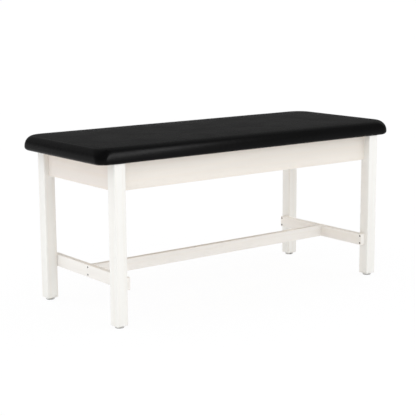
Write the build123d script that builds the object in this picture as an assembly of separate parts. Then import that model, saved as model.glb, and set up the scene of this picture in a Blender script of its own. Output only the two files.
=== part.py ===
"""Exam table: a long vinyl pad on a hardwood base with an H brace and four levelling feet.

Millimetres, +Z up. The origin is on the floor, under the middle of the table.
X runs along the table, and -Y is its front. Each corner is built once, at +X and +Y,
in distances u and v measured inwards from the legs' outer end and side faces.
"""
import math
import os

from build123d import *

os.makedirs("parts", exist_ok=True)

# Pad, vinyl cover, foam and deck
pad_length = 1842.0
pad_width = 720.0
pad_corner_radius = 45.0
pad_edge_round = 17.0
edge_steps = 4
side_height = 19.0
roll_inset = 23.0
crown_height = 3.0
roll_corner_share = 2.0
crown_corner_share = 0.25
roll_steps = 8
crown_inset_share = 0.27
crown_steps = 3
vinyl_thickness = 1.2
upholstery_gap = 0.3
return_width = 38.0
foam_height = 57.3
foam_edge = 16.0
foam_deck_gap = 0.3
deck_thickness = 18.0
deck_corner_radius = 46.0
deck_edge_round = 1.5

# Legs
end_overhang = 83.25
side_overhang = 10.75
leg_side = 60.5
leg_length = 755.5
leg_edge_round = 5.0
leg_end_chamfer = 2.0

# Aprons and cross rails
apron_height = 132.0
apron_thickness = 21.0
apron_edge_round = 2.0
end_apron_recess = 26.0
rail_width = 64.0
rail_thickness = 22.0
rail_housing_depth = 10.0
rail_end_distance = 146.0
rail_count = 4

# Stretchers
stretcher_height = 61.0
stretcher_bottom = 170.8
stretcher_edge_round = 2.5
end_stretcher_thickness = 28.5
end_stretcher_stop = 20.5
long_stretcher_thickness = 28.0

# Corner blocks
block_thickness = 32.0
block_height = 92.0
block_gap = 4.0
block_edge_round = 2.0

# Hanger bolts, washers and nuts
bolt_diameter = 8.0
bolt_in_leg = 38.0
bolt_past_nut = 4.0
bolt_offset = 16.0
bolt_hole_gap = 0.5
washer_diameter = 22.0
washer_thickness = 1.8
nut_width = 13.0
nut_height = 6.5
nut_bore_gap = 0.05

# Wood screws: head diameter, shank diameter and length of each kind
block_screw_head, block_screw_shank, block_screw_length = 8.5, 4.2, 38.0
deck_screw_head, deck_screw_shank, deck_screw_length = 8.5, 4.2, 32.0
leg_screw_head, leg_screw_shank, leg_screw_length = 9.6, 5.0, 63.0
brace_screw_head, brace_screw_shank, brace_screw_length = 9.6, 5.0, 75.0
block_screw_offset = 34.0
block_screw_bite = 15.0
block_screw_inset = 22.0
leg_screw_offset = 19.5
brace_screw_offset = 18.5
deck_screw_apron_distance = 50.0
head_rim = 0.8
screw_point_share = 1.2
screw_hole_gap = 0.05
head_sink = 0.3

# Staples
staple_crown = 12.0
staple_leg = 9.0
staple_wire = 0.9
staple_edge_distance = 27.0
staple_pitch = 56.0
staple_leg_gap = 14.0

# Levelling feet
foot_diameter = 44.0
foot_base_height = 7.0
foot_pad_diameter = 42.0
foot_pad_thickness = 2.0
foot_rim_height = 4.5
foot_pad_chamfer = 0.6
foot_shoulder_width = 3.2
foot_shoulder_height = 6.2
foot_top_diameter = 24.0
stem_diameter = 9.5
stem_length = 58.0
stem_running_gap = 0.08
stem_end_chamfer = 1.0
collar_width = 17.0
collar_height = 3.0
collar_gap = 0.5
ball_diameter = 14.0
ball_height = 2.4
ball_gap = 0.3
ball_floor = 3.0
insert_barrel = 14.0
insert_length = 24.0
insert_flange = 26.0
insert_flange_thickness = 2.0
insert_edge_chamfer = 0.6
insert_fit_gap = 0.05
stem_well_diameter = 12.0
stem_well_spare = 6.0

# Cuts run past the faces that they open
overrun = 2.0

# Worked-out levels and faces
foot_height = foot_base_height + collar_height + collar_gap
leg_top = foot_height + leg_length
pad_bottom = leg_top
deck_bottom = pad_bottom + vinyl_thickness
pad_thickness = vinyl_thickness + deck_thickness + foam_height + upholstery_gap + vinyl_thickness
pad_top = pad_bottom + pad_thickness
crown_inset = crown_inset_share * pad_width
apron_top = deck_bottom
apron_bottom = apron_top - apron_height
half_length = pad_length / 2 - end_overhang
half_width = pad_width / 2 - side_overhang
leg_centre = leg_side / 2
long_apron_recess = leg_side - apron_thickness
long_apron_inner = leg_side
end_apron_inner = end_apron_recess + apron_thickness
stretcher_middle = stretcher_bottom + stretcher_height / 2
block_middle = apron_top - block_height / 2
rail_bottom = apron_top - rail_thickness
diagonal = math.sqrt(2)
upwards = (Align.CENTER, Align.CENTER, Align.MIN)
block_face = diagonal * leg_side + block_gap
block_back = block_face + block_thickness


def save(name, *solids):
    """Write the solids of one node to its own file."""
    node = Compound(label=name, children=list(solids)) if len(solids) > 1 else solids[0]
    node.label = name
    export_step(node, f"parts/{name}.step")


def block(low, high):
    """Box between two opposite corners."""
    size = [b - a for a, b in zip(low, high)]
    middle = [(a + b) / 2 for a, b in zip(low, high)]
    return Pos(*middle) * Box(*size)


def corner_place(u, v, z):
    """Point of the +X, +Y corner from its distances to the legs' outer faces."""
    return Pos(half_length - u, half_width - v, z)


def at_four_corners(shape):
    """The same shape at the four corners, by name."""
    rear_left = mirror(shape, about=Plane.YZ)
    return {
        "rear_right": shape,
        "rear_left": rear_left,
        "front_right": mirror(shape, about=Plane.XZ),
        "front_left": mirror(rear_left, about=Plane.XZ),
    }


def turned(*points):
    """Solid of revolution about Z from the points of half its section."""
    return revolve(Plane.XZ * make_face(Polyline(*points, close=True)), Axis.Z)


def wood_screw(head, shank, length):
    """Countersunk screw along -Z with its flat head at Z = 0."""
    cone = (head - shank) / 2
    point = shank * screw_point_share
    return turned(
        (0, 0),
        (head / 2, 0),
        (head / 2, -head_rim),
        (shank / 2, -head_rim - cone),
        (shank / 2, point - length),
        (0, -length),
    )


def pilot_hole(shank, length):
    """Plain hole for a screw's shank, from its head's level to just past its point."""
    return Pos(0, 0, -length - screw_hole_gap) * Cylinder(shank / 2 + screw_hole_gap, length, align=upwards)


def screw_hole(head, shank, length):
    """Countersunk hole for a screw that sits just under the surface."""
    wide, narrow = head / 2 + screw_hole_gap, shank / 2 + screw_hole_gap
    seat = -head_rim - screw_hole_gap
    mouth = head_sink + overrun
    end = -length - overrun
    return turned(
        (0, mouth),
        (wide, mouth),
        (wide, seat),
        (narrow, seat - wide + narrow),
        (narrow, end),
        (0, end),
    )


def pad_section(inset, height, corner):
    """Rounded rectangle of the pad at one height above its underside."""
    outline = RectangleRounded(pad_length - inset - inset, pad_width - inset - inset, corner)
    return Pos(0, 0, pad_bottom + height) * outline


def pad_corner(inset, skin):
    """Corner radius in plan, which opens out as the vinyl rolls over the corner."""
    rolled = min(inset, roll_inset) - skin
    crowned = max(inset - roll_inset, 0)
    return pad_corner_radius - skin + roll_corner_share * rolled + crown_corner_share * crowned


def pad_form(skin, floor):
    """Pad's outer form drawn in by a skin, from a floor above the underside to its crowned top."""
    edge = pad_edge_round - skin
    rise = pad_thickness - skin - side_height - crown_height
    span = roll_inset - skin
    sections = []
    for step in range(edge_steps + 1):
        turn = step / edge_steps * math.pi / 2
        inset = pad_edge_round - edge * math.sin(turn)
        height = floor + edge * (1 - math.cos(turn))
        sections.append(pad_section(inset, height, pad_corner_radius - skin * math.sin(turn)))
    sections.append(pad_section(skin, side_height, pad_corner(skin, skin)))
    for step in range(1, roll_steps + 1):
        turn = step / roll_steps * math.pi / 2
        inset = skin + span * (1 - math.cos(turn))
        height = side_height + rise * math.sin(turn)
        sections.append(pad_section(inset, height, pad_corner(inset, skin)))
    for step in range(1, crown_steps + 1):
        share = step / crown_steps
        inset = roll_inset + share * (crown_inset - roll_inset)
        height = pad_thickness - skin - crown_height * (1 - share) ** 2
        sections.append(pad_section(inset, height, pad_corner(inset, skin)))
    return loft(sections, ruled=True)


def vinyl_cover():
    """Vinyl skin over the whole pad, turned under the deck in a flat return."""
    outer = pad_form(0, 0)
    inner = pad_form(vinyl_thickness, vinyl_thickness)
    opening = RectangleRounded(
        pad_length - return_width - return_width,
        pad_width - return_width - return_width,
        deck_corner_radius,
    )
    opening = extrude(Pos(0, 0, pad_bottom) * opening, deck_thickness / 2)
    return outer - inner - opening


def deck_outline(gap):
    """Deck's size in plan, grown by a gap all round."""
    margin = vinyl_thickness + upholstery_gap + foam_edge - gap
    return pad_length - margin - margin, pad_width - margin - margin


def deck_blank(gap, height):
    """Rounded plywood sheet, or the pocket for it when there is a gap."""
    sheet = Pos(0, 0, deck_bottom) * RectangleRounded(*deck_outline(gap), deck_corner_radius + gap)
    return extrude(sheet, height)


def foam_pad():
    """Foam with a crowned top and a lip that wraps the deck's edge."""
    form = pad_form(vinyl_thickness + upholstery_gap, vinyl_thickness)
    return form - deck_blank(foam_deck_gap, deck_thickness)


def deck_screw_places():
    """Deck screws point up through each cross rail."""
    side = half_width - long_apron_inner - deck_screw_apron_distance
    rows = (-side, 0, side)
    return [Pos(x, y, rail_bottom + head_sink) * Rot(180, 0, 0) for x in rail_places() for y in rows]


def deck_board():
    """Plywood deck with eased edges and the screws' pilot holes."""
    board = deck_blank(0, deck_thickness)
    board = fillet(board.edges().filter_by(Plane.XY), deck_edge_round)
    for place in deck_screw_places():
        board -= place * pilot_hole(deck_screw_shank, deck_screw_length)
    return board


def staple():
    """Wire staple under the vinyl, crown along X, legs up through the vinyl into the deck."""
    half = staple_crown / 2
    crown = block((-half, -staple_wire / 2, -staple_wire), (half, staple_wire / 2, 0))
    legs = [
        block((a, -staple_wire / 2, -staple_wire), (a + staple_wire, staple_wire / 2, staple_leg))
        for a in (-half, half - staple_wire)
    ]
    return crown + legs[0] + legs[1]


def spaced(length, pitch):
    """Evenly spaced places along a length, centred on zero."""
    count = int(length / pitch) + 1
    step = length / (count - 1)
    return [i * step - length / 2 for i in range(count)]


def staple_places():
    """Staples along the return: between the legs on the long sides, and along both ends."""
    along = 2 * (half_length - leg_side - staple_leg_gap)
    across = 2 * (pad_width / 2 - return_width - staple_leg_gap)
    side = pad_width / 2 - staple_edge_distance
    end = pad_length / 2 - staple_edge_distance
    places = [Pos(x, y, pad_bottom) for y in (-side, side) for x in spaced(along, staple_pitch)]
    places += [Pos(x, y, pad_bottom) * Rot(0, 0, 90) for x in (-end, end) for y in spaced(across, staple_pitch)]
    return places


def rail_places():
    """Middles of the cross rails along the table."""
    reach = half_length - rail_end_distance
    step = (reach + reach) / (rail_count - 1)
    return [-reach + i * step for i in range(rail_count)]


def cross_rail(x):
    """Flat rail between the long aprons, let into them, with its deck screws' holes."""
    half = half_width - long_apron_inner + rail_housing_depth
    rail = block((x - rail_width / 2, -half, rail_bottom), (x + rail_width / 2, half, apron_top))
    rail = fillet(rail.edges().group_by(Axis.Z)[0].filter_by(Axis.Y), apron_edge_round)
    for place in deck_screw_places():
        rail -= place * screw_hole(deck_screw_head, deck_screw_shank, deck_screw_length)
    return rail


def bolt_heights():
    """Levels of the two hanger bolts at each corner."""
    return block_middle - bolt_offset, block_middle + bolt_offset


def on_diagonal(distance, z):
    """Place on the corner's diagonal, its Z axis pointing inwards from the leg."""
    side = distance / diagonal
    return corner_place(side, side, z) * Rot(0, 0, 45) * Rot(0, -90, 0)


def bolt_holes():
    """Clearance holes of the hanger bolts from the leg's inner corner to past the block's back."""
    start = diagonal * leg_side - bolt_diameter
    length = block_back + overrun - start
    hole = Cylinder(bolt_diameter / 2 + bolt_hole_gap, length, align=upwards)
    return [on_diagonal(start, z) * hole for z in bolt_heights()]


def block_screw_places():
    """Screws from the block's back into the long apron and the end apron, heads inwards."""
    reach = block_screw_length - block_screw_bite
    places = []
    for z in (block_middle - block_screw_offset, block_middle + block_screw_offset):
        along = long_apron_inner + block_screw_inset
        places.append(corner_place(along, long_apron_inner + reach, z) * Rot(90, 0, 0))
        across = long_apron_inner + block_screw_inset + end_apron_recess / 2
        places.append(corner_place(end_apron_inner + reach, across, z) * Rot(0, -90, 0))
    return places


def corner_block():
    """Hardwood block across the corner, seated on both aprons' inner faces."""
    face, back = block_face * diagonal, block_back * diagonal
    plan = [
        (face - long_apron_inner, long_apron_inner),
        (back - long_apron_inner, long_apron_inner),
        (end_apron_inner, back - end_apron_inner),
        (end_apron_inner, face - end_apron_inner),
    ]
    points = [(half_length - u, half_width - v) for u, v in plan]
    base = Pos(0, 0, block_middle - block_height / 2) * make_face(Polyline(*points, close=True))
    body = extrude(base, block_height)
    body = chamfer(body.edges().group_by(Axis.Z)[0], block_edge_round)
    for hole in bolt_holes():
        body -= hole
    mouth = Cylinder(block_screw_head / 2 + screw_hole_gap, block_thickness, align=upwards)
    for place in block_screw_places():
        body -= place * (screw_hole(block_screw_head, block_screw_shank, block_screw_length) + mouth)
    return body


def hanger_bolt(z):
    """Bolt screwed into the leg's inner corner and through the block."""
    start = diagonal * leg_side - bolt_in_leg
    length = block_back + washer_thickness + nut_height + bolt_past_nut - start
    bolt = Cylinder(bolt_diameter / 2, length, align=upwards)
    return on_diagonal(start, z) * chamfer(bolt.edges(), bolt_diameter / 8)


def bolt_washer(z):
    """Plain washer on the block's back."""
    bore = bolt_diameter / 2 + bolt_hole_gap
    ring = Circle(washer_diameter / 2) - Circle(bore)
    return on_diagonal(block_back, z) * extrude(ring, washer_thickness)


def bolt_nut(z):
    """Hexagon nut on its washer."""
    outline = RegularPolygon(nut_width / 2, 6, major_radius=False) - Circle(bolt_diameter / 2 + nut_bore_gap)
    return on_diagonal(block_back + washer_thickness, z) * extrude(outline, nut_height)


def long_apron():
    """Rear apron between the legs, flush with their inner faces, housed for the cross rails."""
    half = half_length - leg_side
    outer = half_width - long_apron_recess
    inner = half_width - long_apron_inner
    body = block((-half, inner, apron_bottom), (half, outer, apron_top))
    body = fillet(body.edges().group_by(Axis.Z)[0].filter_by(Axis.X), apron_edge_round)
    for x in rail_places():
        low = (x - rail_width / 2, inner - overrun, rail_bottom)
        high = (x + rail_width / 2, inner + rail_housing_depth, apron_top + overrun)
        body -= block(low, high)
    for hole in bolt_holes():
        body -= hole
        body -= mirror(hole, about=Plane.YZ)
    return drilled_apron(body)


def end_apron():
    """Right apron between the legs, set back from their outer faces."""
    half = half_width - leg_side
    outer = half_length - end_apron_recess
    body = block((outer - apron_thickness, -half, apron_bottom), (outer, half, apron_top))
    body = fillet(body.edges().group_by(Axis.Z)[0].filter_by(Axis.Y), apron_edge_round)
    return drilled_apron(body)


def drilled_apron(body):
    """Apron with the pilot holes of every corner block's screws."""
    pilot = pilot_hole(block_screw_shank, block_screw_length)
    for place in block_screw_places():
        for hole in at_four_corners(place * pilot).values():
            body -= hole
    return body


def leg():
    """Rear right leg: square, eased edges, bored for its bolts, screws and levelling foot."""
    body = block(
        (half_length - leg_side, half_width - leg_side, foot_height),
        (half_length, half_width, leg_top),
    )
    body = fillet(body.edges().filter_by(Axis.Z), leg_edge_round)
    body = chamfer(body.edges().group_by(Axis.Z)[0], leg_end_chamfer)
    for z in bolt_heights():
        hole = Cylinder(bolt_diameter / 2 + screw_hole_gap, bolt_in_leg + leg_side, align=upwards)
        body -= on_diagonal(diagonal * leg_side - bolt_in_leg, z) * hole
    for place in leg_screw_places():
        body -= place * pilot_hole(leg_screw_shank, leg_screw_length)
    well = Pos(0, 0, -overrun) * Cylinder(
        stem_well_diameter / 2, stem_length + stem_well_spare + overrun, align=upwards
    )
    barrel = Pos(0, 0, -overrun) * Cylinder(
        insert_barrel / 2 + insert_fit_gap, insert_length + overrun, align=upwards
    )
    seat = Pos(0, 0, -overrun) * Cylinder(
        insert_flange / 2 + insert_fit_gap, insert_flange_thickness + overrun, align=upwards
    )
    return body - corner_place(leg_centre, leg_centre, foot_height) * (well + barrel + seat)


def leg_screw_places():
    """Screws through the end stretcher into the middle of the rear right leg."""
    head = leg_side + end_stretcher_thickness - head_sink
    levels = (stretcher_middle - leg_screw_offset, stretcher_middle + leg_screw_offset)
    return [corner_place(head, leg_centre, z) * Rot(0, -90, 0) for z in levels]


def brace_screw_places():
    """Screws through the right end stretcher into the long stretcher's end."""
    head = leg_side + head_sink
    levels = (stretcher_middle - brace_screw_offset, stretcher_middle + brace_screw_offset)
    return [corner_place(head, half_width, z) * Rot(0, 90, 0) for z in levels]


def end_stretcher():
    """Right end stretcher, lapped on the legs' inner faces."""
    outer = half_length - leg_side
    half = half_width - end_stretcher_stop
    body = block(
        (outer - end_stretcher_thickness, -half, stretcher_bottom),
        (outer, half, stretcher_bottom + stretcher_height),
    )
    body = fillet(body.edges(), stretcher_edge_round)
    leg_hole = screw_hole(leg_screw_head, leg_screw_shank, leg_screw_length)
    for place in leg_screw_places():
        body -= place * leg_hole
        body -= mirror(place * leg_hole, about=Plane.XZ)
    for place in brace_screw_places():
        body -= place * screw_hole(brace_screw_head, brace_screw_shank, brace_screw_length)
    return body


def long_stretcher():
    """Middle rail of the H brace, between the end stretchers."""
    half = half_length - leg_side - end_stretcher_thickness
    thick = long_stretcher_thickness / 2
    body = block((-half, -thick, stretcher_bottom), (half, thick, stretcher_bottom + stretcher_height))
    body = fillet(body.edges().filter_by(Axis.X), stretcher_edge_round)
    for place in brace_screw_places():
        hole = place * pilot_hole(brace_screw_shank, brace_screw_length)
        body -= hole
        body -= mirror(hole, about=Plane.YZ)
    return body


def foot_insert():
    """Flanged threaded insert in the leg's lower end."""
    bore = stem_diameter / 2 + stem_running_gap
    flange = insert_flange / 2
    barrel = insert_barrel / 2
    insert = turned(
        (bore, 0),
        (flange, 0),
        (flange, insert_flange_thickness),
        (barrel, insert_flange_thickness),
        (barrel, insert_length - insert_edge_chamfer),
        (barrel - insert_edge_chamfer, insert_length),
        (bore, insert_length),
    )
    return corner_place(leg_centre, leg_centre, foot_height) * insert


def foot_base():
    """Round foot with a stepped shoulder and a socket for the stem's head."""
    rim = foot_diameter / 2
    top = foot_top_diameter / 2
    shoulder = rim - foot_shoulder_width
    neck = stem_diameter / 2 + stem_running_gap
    head = ball_diameter / 2 + ball_gap
    ceiling = ball_floor + ball_height + ball_gap
    base = turned(
        (0, foot_pad_thickness),
        (rim, foot_pad_thickness),
        (rim, foot_rim_height),
        (shoulder, foot_shoulder_height),
        (top, foot_base_height),
        (neck, foot_base_height),
        (neck, ceiling),
        (head, ceiling),
        (head, ball_floor),
        (0, ball_floor),
    )
    return corner_place(leg_centre, leg_centre, 0) * base


def foot_pad():
    """Rubber disc under the foot, which stands on the floor."""
    disc = Cylinder(foot_pad_diameter / 2, foot_pad_thickness, align=upwards)
    disc = chamfer(disc.edges().group_by(Axis.Z)[0], foot_pad_chamfer)
    return corner_place(leg_centre, leg_centre, 0) * disc


def foot_stem():
    """Levelling screw: head in the foot's socket, hexagon collar and the threaded stem."""
    head = Pos(0, 0, ball_floor) * Cylinder(ball_diameter / 2, ball_height, align=upwards)
    top = foot_base_height + collar_height + stem_length
    shank = Pos(0, 0, ball_floor) * Cylinder(stem_diameter / 2, top - ball_floor, align=upwards)
    shank = chamfer(shank.edges().group_by(Axis.Z)[-1], stem_end_chamfer)
    collar = Pos(0, 0, foot_base_height) * extrude(
        RegularPolygon(collar_width / 2, 6, major_radius=False), collar_height
    )
    return corner_place(leg_centre, leg_centre, 0) * (head + shank + collar)


def both_ends(shape):
    """The shape at the right end and mirrored at the left end."""
    return {"right": shape, "left": mirror(shape, about=Plane.YZ)}


def screws_at_corners(places, head, shank, length):
    """One screw for each place, at the four corners."""
    screw = wood_screw(head, shank, length)
    return [one for place in places for one in at_four_corners(place * screw).values()]


save("vinyl_cover", vinyl_cover())
save("foam_pad", foam_pad())
save("deck_board", deck_board())
save("cover_staples", *[place * staple() for place in staple_places()])

rear_apron = long_apron()
save("long_apron_rear", rear_apron)
save("long_apron_front", mirror(rear_apron, about=Plane.XZ))
for side, shape in both_ends(end_apron()).items():
    save(f"end_apron_{side}", shape)
for number, x in enumerate(rail_places(), 1):
    save(f"cross_rail_{number}", cross_rail(x))

for corner, shape in at_four_corners(leg()).items():
    save(f"leg_{corner}", shape)
for corner, shape in at_four_corners(corner_block()).items():
    save(f"corner_block_{corner}", shape)
for name, make in (("hanger_bolts", hanger_bolt), ("bolt_washers", bolt_washer), ("bolt_nuts", bolt_nut)):
    save(name, *[one for z in bolt_heights() for one in at_four_corners(make(z)).values()])
save(
    "block_screws",
    *screws_at_corners(block_screw_places(), block_screw_head, block_screw_shank, block_screw_length),
)
deck_screw = wood_screw(deck_screw_head, deck_screw_shank, deck_screw_length)
save("deck_screws", *[place * deck_screw for place in deck_screw_places()])

for side, shape in both_ends(end_stretcher()).items():
    save(f"end_stretcher_{side}", shape)
save("long_stretcher", long_stretcher())
save("leg_screws", *screws_at_corners(leg_screw_places(), leg_screw_head, leg_screw_shank, leg_screw_length))
brace_screw = wood_screw(brace_screw_head, brace_screw_shank, brace_screw_length)
save(
    "brace_screws",
    *[one for place in brace_screw_places() for one in both_ends(place * brace_screw).values()],
)

save("foot_inserts", *at_four_corners(foot_insert()).values())
for corner, shape in at_four_corners(foot_base()).items():
    save(f"foot_base_{corner}", shape)
for corner, shape in at_four_corners(foot_pad()).items():
    save(f"foot_pad_{corner}", shape)
for corner, shape in at_four_corners(foot_stem()).items():
    save(f"foot_stem_{corner}", shape)

print("pad top", round(pad_top, 1), "rails", [round(x, 1) for x in rail_places()])
print("block back at", round(block_back, 1), "staples", len(staple_places()))
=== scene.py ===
"""Exam table: upholstered pad, white-stained hardwood base, levelling feet and studio stage."""
import math

import bmesh
import bpy
from mathutils import Euler, Matrix, Vector, noise


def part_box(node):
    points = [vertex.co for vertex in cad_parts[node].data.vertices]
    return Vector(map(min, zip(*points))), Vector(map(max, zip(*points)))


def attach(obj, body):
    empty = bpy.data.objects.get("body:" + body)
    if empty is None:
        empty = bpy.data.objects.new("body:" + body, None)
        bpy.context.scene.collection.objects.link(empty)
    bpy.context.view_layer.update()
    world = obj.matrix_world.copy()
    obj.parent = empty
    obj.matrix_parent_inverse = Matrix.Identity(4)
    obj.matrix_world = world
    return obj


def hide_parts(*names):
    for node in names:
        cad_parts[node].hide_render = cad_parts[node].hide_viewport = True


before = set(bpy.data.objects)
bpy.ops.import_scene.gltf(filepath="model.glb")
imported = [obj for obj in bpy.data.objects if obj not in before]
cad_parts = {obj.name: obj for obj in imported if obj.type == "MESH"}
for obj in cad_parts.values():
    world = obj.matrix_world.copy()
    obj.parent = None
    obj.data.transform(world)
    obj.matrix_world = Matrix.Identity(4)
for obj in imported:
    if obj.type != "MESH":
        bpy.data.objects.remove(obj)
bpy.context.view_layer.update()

bl_info = {
    "name": "Exam table",
    "version": (1, 0, 0),
    "blender": (4, 5, 0),
    "location": "3D View > Sidebar > Exam table",
    "description": "Dresses the exam table's frame in vinyl, stained wood, steel and nylon",
    "category": "Object",
}

MM = 0.001
WELD = 0.01 * MM
FINE_WELD = 0.001 * MM
WHITE = (1.0, 1.0, 1.0, 1.0)
PAD_LOW, PAD_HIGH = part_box("vinyl_cover")
DECK_LOW, DECK_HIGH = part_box("deck_board")
FOOT_LOW, FOOT_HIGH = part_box("foot_base_front_left")
TREAD_LOW, TREAD_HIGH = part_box("foot_pad_front_left")
STEM_LOW, STEM_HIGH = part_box("foot_stem_front_left")

CORNERS = ("front_left", "front_right", "rear_left", "rear_right")
LEGS = tuple(f"leg_{corner}" for corner in CORNERS)
LONG_APRONS = ("long_apron_front", "long_apron_rear")
END_APRONS = ("end_apron_left", "end_apron_right")
END_STRETCHERS = ("end_stretcher_left", "end_stretcher_right")
RAILS = tuple(sorted(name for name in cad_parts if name.startswith("cross_rail")))
BLOCKS = tuple(f"corner_block_{corner}" for corner in CORNERS)


def length_setting(name, description, default):
    """Setting for a length."""
    return bpy.props.FloatProperty(name=name, description=description, default=default, subtype="DISTANCE")


def angle_setting(name, description, degrees):
    """Setting for an angle, with its default in degrees."""
    return bpy.props.FloatProperty(
        name=name, description=description, default=math.radians(degrees), subtype="ANGLE",
    )


def colour_setting(name, description, default):
    """Setting for a colour."""
    return bpy.props.FloatVectorProperty(
        name=name, description=description, default=default, subtype="COLOR", size=3, min=0, max=1,
    )


def share_setting(name, description, default):
    """Setting for a share between 0 and 1."""
    return bpy.props.FloatProperty(
        name=name, description=description, default=default, min=0, max=1, subtype="FACTOR",
    )


def level_setting(name, description, default):
    """Setting for a plain number from 0 up."""
    return bpy.props.FloatProperty(name=name, description=description, default=default, min=0)


def step_setting(name, description, default):
    """Setting for a number of steps."""
    return bpy.props.IntProperty(name=name, description=description, default=default, min=1)


class PadLooks(bpy.types.PropertyGroup):
    """Shape and finish of the upholstered pad."""

    vinyl_colour: colour_setting("Vinyl colour", "Colour of the vinyl", (0.0040, 0.0040, 0.0041))
    vinyl_roughness: share_setting("Vinyl roughness", "How dull the vinyl is", 0.25)
    vinyl_gloss: share_setting("Vinyl gloss", "Strength of the vinyl's reflections", 0.05)
    grain_size: length_setting("Grain size", "Size of the pebbles in the vinyl's grain", 1.1 * MM)
    grain_depth: length_setting("Grain depth", "Depth of the creases between the pebbles", 0.014 * MM)
    foam_colour: colour_setting("Foam colour", "Colour of fresh foam", (0.80, 0.76, 0.62))
    aged_foam: colour_setting("Aged foam", "Colour of the foam's darker patches", (0.72, 0.67, 0.52))
    # Painted shade: the darker colour inside the foam's cells.
    foam_cell_shade: colour_setting("Foam cells", "Colour inside the foam's cells", (0.55, 0.5, 0.38))
    mesh_step: length_setting("Mesh step", "Size of the mesh along the pad's straight sides", 14 * MM)
    corner_steps: step_setting("Corner steps", "Steps round each corner", 16)
    edge_steps: step_setting("Edge steps", "Steps round the lower edge", 6)
    side_steps: step_setting("Side steps", "Steps up the side", 2)
    roll_steps: step_setting("Roll steps", "Steps over the shoulder", 18)
    crown_steps: step_setting("Crown steps", "Steps across the crown", 10)
    corner_radius: length_setting("Corner radius", "Radius of the pad's corners at its side", 45 * MM)
    edge_round: length_setting("Edge round", "Radius of the pad's lower edge", 17 * MM)
    side_height: length_setting("Side height", "Height at which the side starts to lean in", 19 * MM)
    roll_inset: length_setting("Roll inset", "Distance over which the shoulder rolls in", 23 * MM)
    crown_inset: length_setting("Crown inset", "Distance at which the top is level", 194.4 * MM)
    crown_height: length_setting("Crown height", "Rise of the top from the shoulder to the level", 3 * MM)
    roll_corner_share: level_setting("Roll corner share", "How fast the corner opens over the shoulder", 2.0)
    crown_corner_share: level_setting("Crown corner share", "How fast the corner opens over the crown", 0.25)
    return_corner: length_setting("Return corner", "Corner radius of the deck and the return", 46 * MM)
    return_width: length_setting("Return width", "Width of vinyl turned under the deck", 38 * MM)
    foam_gap: length_setting("Foam gap", "Gap between the foam's lip and the deck", 0.3 * MM)
    swell: length_setting("Swell", "How far the stuffing may push the vinyl out", 1.6 * MM)
    pressure: level_setting("Pressure", "Outward pressure of the foam on the vinyl", 4.0)
    ripple: length_setting("Ripple", "Height of the soft unevenness of the stretched vinyl", 0.35 * MM)
    vinyl_thickness: length_setting("Vinyl thickness", "Thickness of the vinyl", DECK_LOW.z - PAD_LOW.z)
    pleat_depth: length_setting("Pleat depth", "Depth of the gathers under each corner", 1.1 * MM)


class WoodLooks(bpy.types.PropertyGroup):
    """Stain and grain of the base."""

    leg_stain: colour_setting("Leg stain", "Colour of the legs", (0.86, 0.85, 0.81))
    apron_stain: colour_setting("Apron stain", "Colour of the long aprons", (0.82, 0.772, 0.703))
    end_stain: colour_setting("End stain", "Colour of the end aprons", (0.84, 0.79, 0.735))
    stretcher_stain: colour_setting("Stretcher stain", "Colour of the stretchers", (0.88, 0.855, 0.81))
    heart_colour: colour_setting("Heart streaks", "Colour of streaks under the stain", (0.84, 0.745, 0.63))
    bare_colour: colour_setting("Bare wood", "Colour of the unstained rails and blocks", (0.56, 0.41, 0.24))
    ply_colour: colour_setting("Plywood", "Colour of the deck's face veneer", (0.60, 0.44, 0.26))
    ring_pitch: length_setting("Ring pitch", "Distance between the growth rings that show", 34.56 * MM)
    pore_depth: length_setting("Pore depth", "Depth of the pores in the wood", 0.05 * MM)
    satin: share_setting("Satin", "Roughness of the clear coat", 0.38)


class HardwareLooks(bpy.types.PropertyGroup):
    """Screws, bolts, staples and levelling feet."""

    zinc_colour: colour_setting("Zinc", "Colour of the bright plated steel", (0.55, 0.56, 0.58))
    dark_colour: colour_setting("Dark plating", "Colour of the base's visible screws", (0.06, 0.06, 0.065))
    nylon_colour: colour_setting("Nylon", "Colour of the levelling feet", (0.78, 0.77, 0.74))
    # A dark disc under each foot makes the foot's lowest rim dark.
    tread_colour: colour_setting("Rubber", "Colour of the pads under the feet", (0.03, 0.03, 0.031))
    bolt_pitch: length_setting("Bolt pitch", "Thread pitch of the hanger bolts", 1.25 * MM)
    stem_pitch: length_setting("Stem pitch", "Thread pitch of the levelling stems", 1.5 * MM)
    nut_width: length_setting("Nut width", "Width of the nuts across their flats", 13 * MM)
    nut_height: length_setting("Nut height", "Height of the nuts", 6.5 * MM)


class StageLooks(bpy.types.PropertyGroup):
    """Floor, light and camera."""

    floor_colour: colour_setting("Floor", "Colour of the floor", (0.95, 0.96, 0.99))
    floor_glow: share_setting("Floor glow", "Share of plain white in the floor that the camera sees", 0.93)
    floor_reach: length_setting("Floor reach", "Distance from the table to the floor's sides", 600.0)
    room_strength: level_setting("Room", "Strength of the room that glossy faces mirror", 0.12)
    fill_strength: level_setting("Fill light", "Strength of the even light from all round", 0.52)
    backdrop_strength: level_setting("Backdrop", "White that the camera sees beyond the floor", 0.985)
    camera_place: bpy.props.FloatVectorProperty(
        name="Camera place", description="Where the camera stands", subtype="TRANSLATION", size=3,
        default=(-3.5360, -4.5421, 1.5137),
    )
    camera_yaw: angle_setting("Camera yaw", "Turn of the camera to the right of the rear", 37.565)
    camera_pitch: angle_setting("Camera pitch", "Tilt of the camera above level", -10.776)
    camera_roll: angle_setting("Camera roll", "Roll of the camera", -0.280)
    camera_lens: level_setting("Camera lens", "Focal length in millimetres on a 36 mm wide sensor", 97.35)


PAD = None
WOOD = None
HARDWARE = None
STAGE = None


def link_object(name, mesh, smooth=False):
    """New object at the origin that shows a mesh."""
    piece = bpy.data.objects.new(name, mesh)
    bpy.context.scene.collection.objects.link(piece)
    if smooth:
        mesh.polygons.foreach_set("use_smooth", [True] * len(mesh.polygons))
    return piece


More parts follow.
